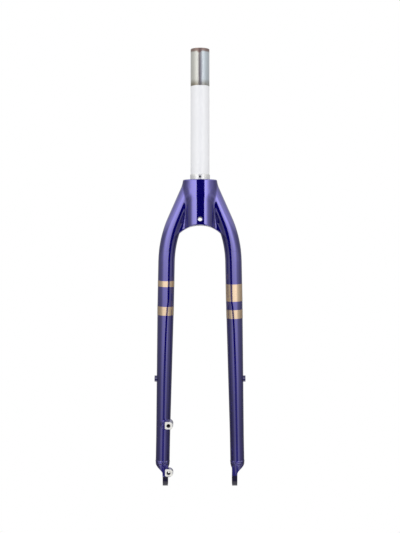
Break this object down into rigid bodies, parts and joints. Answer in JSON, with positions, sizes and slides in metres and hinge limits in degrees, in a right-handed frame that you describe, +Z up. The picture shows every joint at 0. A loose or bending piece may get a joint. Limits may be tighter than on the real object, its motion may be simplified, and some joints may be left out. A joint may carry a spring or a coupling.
{
  "type": "rigid bicycle fork",
  "caption": "Rigid steel bicycle fork for a disc brake, with steerer tube, arched crown, bent tapered blades, open axle slots, brake posts and rack bosses.",
  "frame": {"origin": "on the steerer axis, at the top face of the crown where the crown race seat starts", "axes": "+Z up along the steerer, +Y to the front of the bicycle, -X to the rider's left, where the brake posts are"},
  "size_m": [0.1406, 0.076, 0.6717],
  "materials": {
    "steel": "bare steel at the top and the race seat, thin white coat between",
    "purple_paint": "glossy deep metallic purple, bare machined post faces",
    "gold_film": "glossy gold film under clear coat"
  },
  "bodies": {
    "root": {"steerer_tube": "steel", "crown": "purple_paint", "left_blade": "purple_paint", "right_blade": "purple_paint", "left_crown_fillet": "purple_paint", "right_crown_fillet": "purple_paint", "left_fork_end": "purple_paint", "right_fork_end": "purple_paint", "left_fork_end_weld": "purple_paint", "right_fork_end_weld": "purple_paint", "upper_brake_post": "purple_paint", "left_rack_boss": "purple_paint", "right_rack_boss": "purple_paint", "left_upper_band": "gold_film", "left_lower_band": "gold_film", "right_upper_band": "gold_film", "right_lower_band": "gold_film"}
  },
  "joints": []
}
